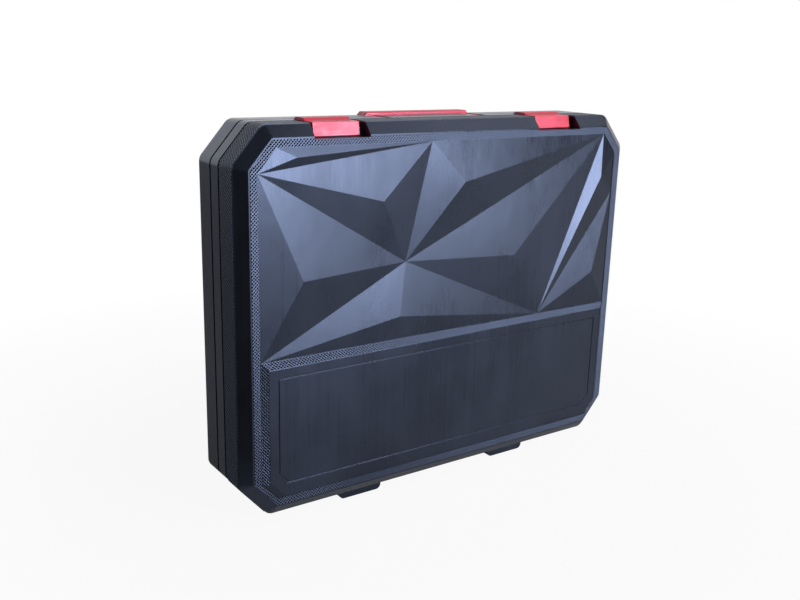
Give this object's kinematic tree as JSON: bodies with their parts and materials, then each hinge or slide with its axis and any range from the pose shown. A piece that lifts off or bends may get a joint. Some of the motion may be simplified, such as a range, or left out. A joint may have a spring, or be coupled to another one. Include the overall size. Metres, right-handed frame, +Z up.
{
  "type": "hard tool case",
  "caption": "Hard plastic tool case with a faceted lid, flip latches, a folding top handle and a moulded tray, standing on its hinge feet.",
  "frame": {"origin": "middle of the case's width and depth, on the surface that its feet stand on", "axes": "+X to the right across the width as seen from the front, -Y towards the lid and the viewer, +Z up to the handle"},
  "size_m": [0.44, 0.0856, 0.3545],
  "materials": {
    "case_plastic": "satin moulded plastic, knurled on its border and sides",
    "inner_plastic": "fine matt moulded plastic",
    "red_plastic": "semi-gloss moulded plastic",
    "pin_steel": "plain drawn wire",
    "screw_steel": "dark zinc"
  },
  "bodies": {
    "base": {"base_shell": "case_plastic", "base_tray": "inner_plastic", "base_tray_screws": "screw_steel", "latch_pin_left": "pin_steel", "latch_pin_right": "pin_steel", "handle_pin_left": "pin_steel", "handle_pin_right": "pin_steel", "hinge_pin_left": "pin_steel", "hinge_pin_right": "pin_steel"},
    "lid": {"lid_shell": "case_plastic", "lid_liner": "inner_plastic", "lid_liner_screws": "screw_steel"},
    "latch_left": {"latch_left": "red_plastic"},
    "latch_right": {"latch_right": "red_plastic"},
    "handle": {"handle": "red_plastic"}
  },
  "joints": [
    {"name": "lid_hinge", "type": "hinge", "parent": "base", "child": "lid", "pos_m": [0, -0.0047, 0.0053], "axis": [1, 0, 0], "range_deg": [0, 180]},
    {"name": "latch_left_pivot", "type": "hinge", "parent": "base", "child": "latch_left", "pos_m": [-0.12325, 0.0009, 0.3493], "axis": [-1, 0, 0], "range_deg": [0, 100]},
    {"name": "latch_right_pivot", "type": "hinge", "parent": "base", "child": "latch_right", "pos_m": [0.12325, 0.0009, 0.3493], "axis": [-1, 0, 0], "range_deg": [0, 100]},
    {"name": "handle_pivot", "type": "hinge", "parent": "base", "child": "handle", "pos_m": [0, 0.0033, 0.3469], "axis": [1, 0, 0], "range_deg": [0, 90]}
  ]
}
